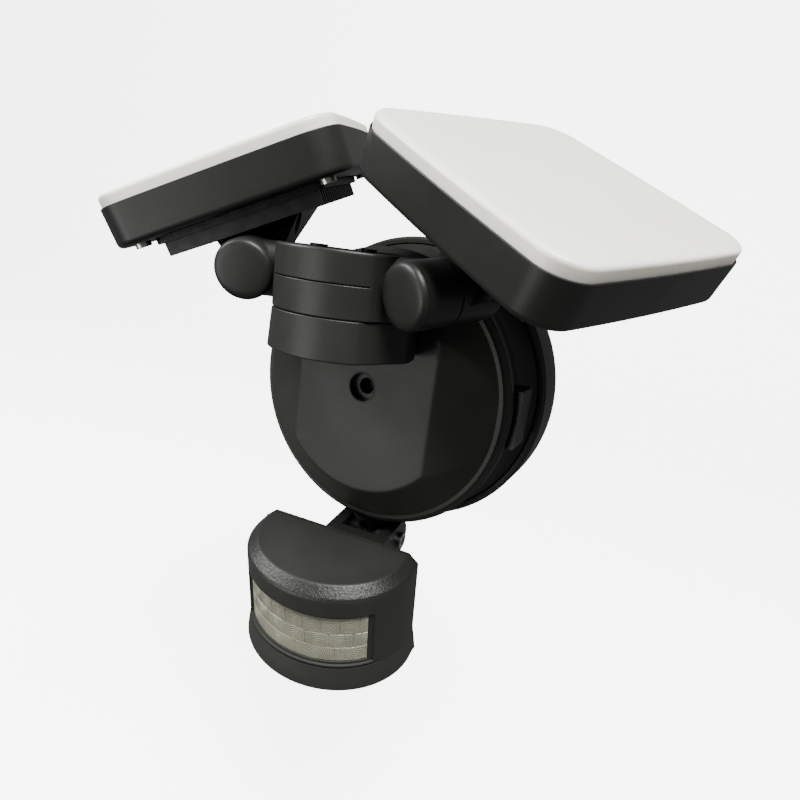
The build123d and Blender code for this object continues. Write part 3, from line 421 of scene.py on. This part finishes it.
# ------------------------------------------------------------------ round base
drum = eased([(58.9, 17.8), (62.6, 17.8), (62.6, 20.2), (61.3, 21.4), (59.0, 24.6), (57.2, 28.4),
              (56.8, 32.5), (57.1, 37.0), (57.8, 41.0), (58.8, 43.9), (56.4, 43.9), (54.4, 32.5),
              (58.6, 21.4)], [0, 0.3, 0.3, 0.6, 2, 2, 2, 2, 2, 0.4, 0.3, 2, 0.5], 5)


def cover_depth(x, z):
    """Depth of the front cover: the least of the middle facet, the two side facets that fall back
    beyond it, and the bevel's cone inside the rim, with their meeting lines softened."""
    fall = np.tan(FACET_FALL)
    planes = np.stack([np.full_like(x, COVER_DEPTH), COVER_DEPTH - fall * (x - FACET_X),
                       COVER_DEPTH + fall * (x + FACET_X),
                       47.0 + (COVER_R - np.hypot(x, z)) * 13.0 / 18.0])
    soft = 0.16
    least = planes.min(axis=0)
    return least - soft * np.log(np.exp(-(planes - least) / soft).sum(axis=0))


def cover_rings():
    """Rings round the screw recess, from inside the cover, over the rim and face, down the recess."""
    turn = np.linspace(0, 2 * np.pi, 576, endpoint=False)
    c, s = np.cos(turn), np.sin(turn)
    reach = -RECESS_Z * s + np.sqrt(COVER_R ** 2 - (RECESS_Z * c) ** 2)
    share = np.concatenate([np.linspace(1, 0.9, 26), np.linspace(0.9, 0.0, 90)[1:]])[:, None]
    away = 6.4 + (reach - 6.4) * share
    x, z = away * c, RECESS_Z + away * s
    face = np.stack([x, -cover_depth(x, z), z], axis=-1)
    rim_r = np.array([57.4, 57.4, 59.6, 59.9, 60.0, 60.0])[:, None]
    rim_d = np.array([50.0, 44.4, 44.2, 44.3, 44.6, 46.4])[:, None]
    edge = face[0] / COVER_R
    out = np.stack([rim_r * edge[:, 0], -rim_d * np.ones_like(c), rim_r * edge[:, 2]], axis=-1)
    well = eased([(6.3, 59.95), (5.8, 59.95), (5.8, 56.0), (3.3, 56.0), (3.3, 46.5)],
                 [0, 0.5, 0.3, 0.3, 0], 4)
    well_r, well_d = well[:, :1], well[:, 1:2]
    hole = np.stack([well_r * c, -well_d * np.ones_like(c), RECESS_Z + well_r * s], axis=-1)
    return np.concatenate([out, face, hole])


points, faces = lace(spun(drum, 256), True)
put("waist_skin", points, faces, BASE_AXES, abs_satin, "base", ["base_housing"])
points, faces = lace(cover_rings(), False)
put("cover_skin", points, faces, BASE_AXES, abs_fine, "base", ["front_cover"])
floor_disc = np.array([(0.5, 23.2), (57.0, 23.2), (57.0, 25.6), (0.5, 25.6)])
points, faces = lace(spun(floor_disc, 128), False)
put("housing_floor", points, faces, BASE_AXES, abs_satin, "base")

# ------------------------------------------------------------------ hub
def hub_outline(inset, radius=HUB_R):
    """A circle with a flat towards the wall and one towards each arm: the least of the radius and
    each flat's distance over the cosine of the angle from it, with softened corners."""
    turn = np.linspace(0, 2 * np.pi, 432, endpoint=False)
    both = [np.full_like(turn, radius - inset)]
    for towards, distance in ((np.pi / 2, HUB_WALL_FLAT), (-TOE, HUB_ARM_FLAT), (np.pi + TOE, HUB_ARM_FLAT)):
        both.append((distance - inset) / np.maximum(np.cos(turn - towards), 0.05))
    both = np.stack(both)
    least = both.min(axis=0)
    r = least - 0.12 * np.log(np.exp(-(both - least) / 0.12).sum(axis=0))
    return np.column_stack([r * np.cos(turn), HUB_Y + r * np.sin(turn)])


def skirt_outline(inset):
    """The hub's outline with the widest radius of the skirt below it, without the flat at the back."""
    ring = hub_outline(inset, SKIRT_R)
    turn = np.linspace(0, 2 * np.pi, 432, endpoint=False)
    r = SKIRT_R - inset
    round_back = np.column_stack([r * np.cos(turn), HUB_Y + r * np.sin(turn)])
    return np.where(np.sin(turn)[:, None] > 0.3, round_back, ring)


lower = eased([(0.7, 35.1), (0.0, 35.1), (0.0, 46.1), (0.6, 46.1)], [0, 0.6, 0.45, 0], 5)
upper = eased([(0.6, 46.4), (0.0, 46.4), (0.0, 57.0), (1.5, 57.0), (1.8, 56.5), (9.0, 56.4)],
              [0, 0.45, 1.3, 0.25, 0.3, 0], 6)
points, faces = lace(upright(lower, hub_outline), False)
put("hub_lower_skin", points, faces, BASE_AXES, abs_satin, "base", ["hub_lower"])
points, faces = lace(upright(upper, hub_outline), False)
put("hub_cap_skin", points, faces, BASE_AXES, abs_satin, "base", ["hub_cap"])
skirt = eased([(1.5, 20.6), (0.0, 20.6), (0.8, 34.8), (1.4, 34.8)], [0, 0.8, 0.5, 0], 6)
points, faces = lace(upright(skirt, skirt_outline), False)
put("hub_skirt", points, faces, BASE_AXES, abs_satin, "base")
socket = eased([(6.2, -61.75), (9.7, -61.75), (9.4, -50.0), (6.2, -50.0)], [0.0, 0.8, 0.2, 0.0], 4)
points, faces = lace(stood(socket, (0.0, -36.0), 96), True)
put("neck_socket", points, faces, BASE_AXES, abs_satin, "base")

# ------------------------------------------------------------------ arms
for name, side in SIDES.items():
    origin, (x, y, z) = arm_axes(side)
    collar = eased([(7.6, -12.0), (10.6, -12.0), (10.6, -HUB_ARM_FLAT), (7.6, -HUB_ARM_FLAT)],
                   [0.3, 0.3, 0.7, 0.3], 4, True)
    points, faces = lace(spun(collar, 128), True)
    put(f"{name}_hub_collar", points, faces, (origin - side * x * ARM_REACH, np.array([z, side * x, y])),
        abs_satin, "base")

    # End cap: wide rounded edge running into a low dome
    dome = eased([(9.0, 5.6), (11.1, 5.6), (11.1, 6.2), (10.4, 7.6), (8.6, 8.25), (4.6, 8.5), (0.4, 8.6)],
                 [0, 0.1, 0.4, 1.3, 1.6, 2.0, 0], 9)
    points, faces = lace(spun(dome, 240), False)
    put(f"{name}_cap_dome", points, faces, (origin, np.array([x, y, z])), abs_satin, f"{name}_arm",
        [f"{name}_arm_cap"])

# ------------------------------------------------------------------ motion sensor
def eye_angles():
    """Angles round the front half ellipse, evenly spaced, with extra lines at the window's ends."""
    marks = WINDOW[0] + np.array([0.0, 0.15, 1.2, 1.35])
    ends = np.arccos(np.concatenate([-marks, marks]) / SENSOR_HALF)
    return np.sort(np.concatenate([np.linspace(0, np.pi, 161), ends]))


def eye_ring(inset, level):
    """One level of the sensor's front: a half ellipse with short straight sides, closed along the
    back, with each point drawn in by its own inset."""
    turn = eye_angles()
    i = inset if np.ndim(inset) else np.full(len(turn), float(inset))
    x, y = (SENSOR_HALF - i) * np.cos(turn), ARC_Y - (SENSOR_NOSE - i) * np.sin(turn)
    side_y = np.linspace(ARC_Y, SEAM_Y, 5)[1:]
    back_x = np.linspace(x[-1], x[0], 24)[1:-1]
    xs = np.concatenate([x, np.full(4, x[-1]), back_x, np.full(4, x[0])])
    ys = np.concatenate([y, side_y, np.full(22, SEAM_Y), side_y[::-1]])
    return np.column_stack([xs, ys, np.full(len(xs), level)])


def window_inset(level):
    """How far the wall steps in at a level: 0.9 within 1.2 of the window, 1.7 inside it, and 0.6 in
    the fine line that runs below it."""
    x = np.abs(SENSOR_HALF * np.cos(eye_angles()))
    half, low, high = WINDOW
    ledge = np.where((x < half + 1.28) & (level > low - 1.28) & (level < high + 1.28), 0.9, 0.0)
    inside = np.where((x < half + 0.08) & (level > low - 0.08) & (level < high + 0.08), 1.7, ledge)
    return np.where((x < half + 3.0) & (level > low - 2.95) & (level < low - 2.05), 0.6, inside)


stack = []
for inset, level in eased([(0.8, -26.0), (-1.7, -26.0), (-1.2, -22.0), (0.0, -16.0)], [0, 0.9, 2.5, 0], 6):
    stack.append(eye_ring(inset, level))
lines = [-15.95, -15.9, -15.1, -15.04, -14.35, -14.2, -13.15, -13.0, -9, -5, -1, 3, 7,
         8.7, 8.85, 9.9, 10.05, 13.0]
stack += [eye_ring(window_inset(level), level) for level in lines]
for inset, level in eased([(0.0, 13.2), (0.0, 18.0), (4.4, 21.8), (8.0, 21.8)], [0, 1.1, 0.8, 0], 6):
    stack.append(eye_ring(inset, level))
points, faces = lace(np.array(stack), False)


def eye_finish(middles):
    """Satin on the top, coarse grain on the bevel, fine grain below."""
    return np.where(middles[:, 2] > 21.55, 1, np.where(middles[:, 2] > 17.7, 2, 0))


put("sensor_face", points, faces, eye_axes(), [abs_fine, abs_satin, abs_coarse], "sensor_eye",
    ["sensor_front"], eye_finish)


def fresnel(s, z):
    """Height of the moulded rings: the window is split into cells, each cell's distance from its own
    centre is cut into steps of 0.75 that rise and drop like saw teeth, and cells meet in a groove."""
    rows = [(8.7, 0.6, 9, 2.7), (0.6, -6.2, 7, -4.2), (-6.2, -13.0, 4, -11.4)]
    height = np.zeros_like(s)
    for high, low, count, middle in rows:
        pitch = LENS_SPAN / count
        column = np.floor(s / pitch)
        offset = s - (column + 0.5) * pitch
        away = np.hypot(offset, (z - middle) * 0.8)
        teeth = (away / 0.75) % 1.0
        edge = np.minimum(pitch / 2 - np.abs(offset), np.minimum(high - z, z - low))
        rise = np.where(edge < 0.16, -0.14, 0.2 * teeth * (away < 0.55 * max(pitch, 7.0)))
        height = np.where((z <= high) & (z > low), rise, height)
    return height


ends = np.arccos(np.array([27.5, -27.5]) / SENSOR_HALF)
fine = np.linspace(ends[0], ends[1], 2000)
steps = np.hypot(np.diff(34.6 * np.cos(fine)), np.diff(28.9 * np.sin(fine)))
length = np.concatenate([[0], np.cumsum(steps)])
s_grid, z_grid = np.meshgrid(np.linspace(0.0, length[-1], 360), np.linspace(-12.9, 8.6, 120), indexing="ij")
turn = np.interp(s_grid, length, fine)
rise = fresnel(s_grid - length[-1] / 2 + 1.5 * LENS_SPAN, z_grid)
outer = np.stack([(34.55 + rise) * np.cos(turn), ARC_Y - (28.85 + rise) * np.sin(turn), z_grid], axis=-1)
inner = np.stack([33.6 * np.cos(turn), ARC_Y - 27.9 * np.sin(turn), z_grid], axis=-1)
points, faces = lace(np.concatenate([outer, inner[:, ::-1]], axis=1), False)
put("sensor_lens_rings", points, faces, eye_axes(), lens_plastic, "sensor_eye",
    ["sensor_lens"])

# ------------------------------------------------------------------ stage, light
# Pale paper sweep that glows by itself: near white and even, with a faint fibre cloud
floor_mat, tree, out = material("pale paper sweep")
fibre = add(tree, "ShaderNodeTexNoise", {"Vector": add(tree, "ShaderNodeTexCoord").outputs["Object"],
                                         "Scale": 30.0, "Detail": 4.0}).outputs["Fac"]
body = add(tree, "ShaderNodeBsdfPrincipled",
           {"Base Color": ramp(tree, fibre, [(0.3, grey(0.9)), (0.7, grey(0.93))]).outputs["Color"],
            "Roughness": 0.8, "Emission Color": srgb("fffefa"), "Emission Strength": 5.0})
tree.links.new(body.outputs[0], out.inputs[0])
sweep = eased([(-4.0, -0.26), (1.6, -0.26), (1.6, 2.8)], [0, 0.8, 0], 24)
points = np.array([(x, y, z) for y, z in sweep for x in (-4.0, 4.0)])
mesh = bpy.data.meshes.new("sweep")
strips = [(2 * k, 2 * k + 1, 2 * k + 3, 2 * k + 2) for k in range(len(sweep) - 1)]
mesh.from_pydata(points.tolist(), [], strips)
mesh.shade_smooth()
mesh.materials.append(floor_mat)
backdrop = bpy.data.objects.new("sweep", mesh)
bpy.context.collection.objects.link(backdrop)
# The lamp neither reflects the sweep nor is lit by it, a studio trick that keeps its plastic dark
backdrop.visible_diffuse = False
backdrop.visible_glossy = False

world = bpy.data.worlds.new("studio")
world.use_nodes = True
world.node_tree.nodes["Background"].inputs["Color"].default_value = (1.0, 1.0, 1.0, 1.0)
world.node_tree.nodes["Background"].inputs["Strength"].default_value = 0.22
bpy.context.scene.world = world


def softbox(name, at, aim, size, power):
    """A square area light at a place in metres, aimed at a point."""
    lamp = bpy.data.lights.new(name, "AREA")
    lamp.size = size
    lamp.energy = power
    made = bpy.data.objects.new(name, lamp)
    back = np.array(at, float) - np.array(aim, float)
    back /= np.linalg.norm(back)
    right = np.cross([0.0, 0.0, 1.0], back)
    right /= np.linalg.norm(right)
    made.matrix_world = Matrix(np.vstack([np.column_stack([right, np.cross(back, right), back, at]),
                                          [0, 0, 0, 1]]).tolist())
    bpy.context.collection.objects.link(made)


softbox("key", (-1.2, -0.8, 0.9), (0, -0.05, 0), 0.7, 40.0)
softbox("front", (-0.5, -1.3, -0.3), (0, -0.05, 0.05), 0.8, 12.0)
softbox("top", (0.5, -0.6, 1.3), (0, -0.05, 0.05), 0.7, 70.0)

# ------------------------------------------------------------------ camera
azimuth, elevation, roll = np.radians([26.59, 15.05, 7.35])
back = np.array([np.sin(azimuth) * np.cos(elevation), -np.cos(azimuth) * np.cos(elevation),
                 np.sin(elevation)])
level = np.array([np.cos(azimuth), np.sin(azimuth), 0.0])
rise = np.cross(back, level)
right = level * np.cos(roll) + rise * np.sin(roll)
lens = bpy.data.cameras.new("camera")
lens.lens = 25.167
lens.sensor_width = 36.0
lens.clip_start = 0.01
camera = bpy.data.objects.new("camera", lens)
place = np.array([114.315, -252.009, 59.658]) * MM
camera.matrix_world = Matrix(np.vstack([np.column_stack([right, np.cross(back, right), back, place]),
                                        [0, 0, 0, 1]]).tolist())
bpy.context.collection.objects.link(camera)
bpy.context.scene.camera = camera
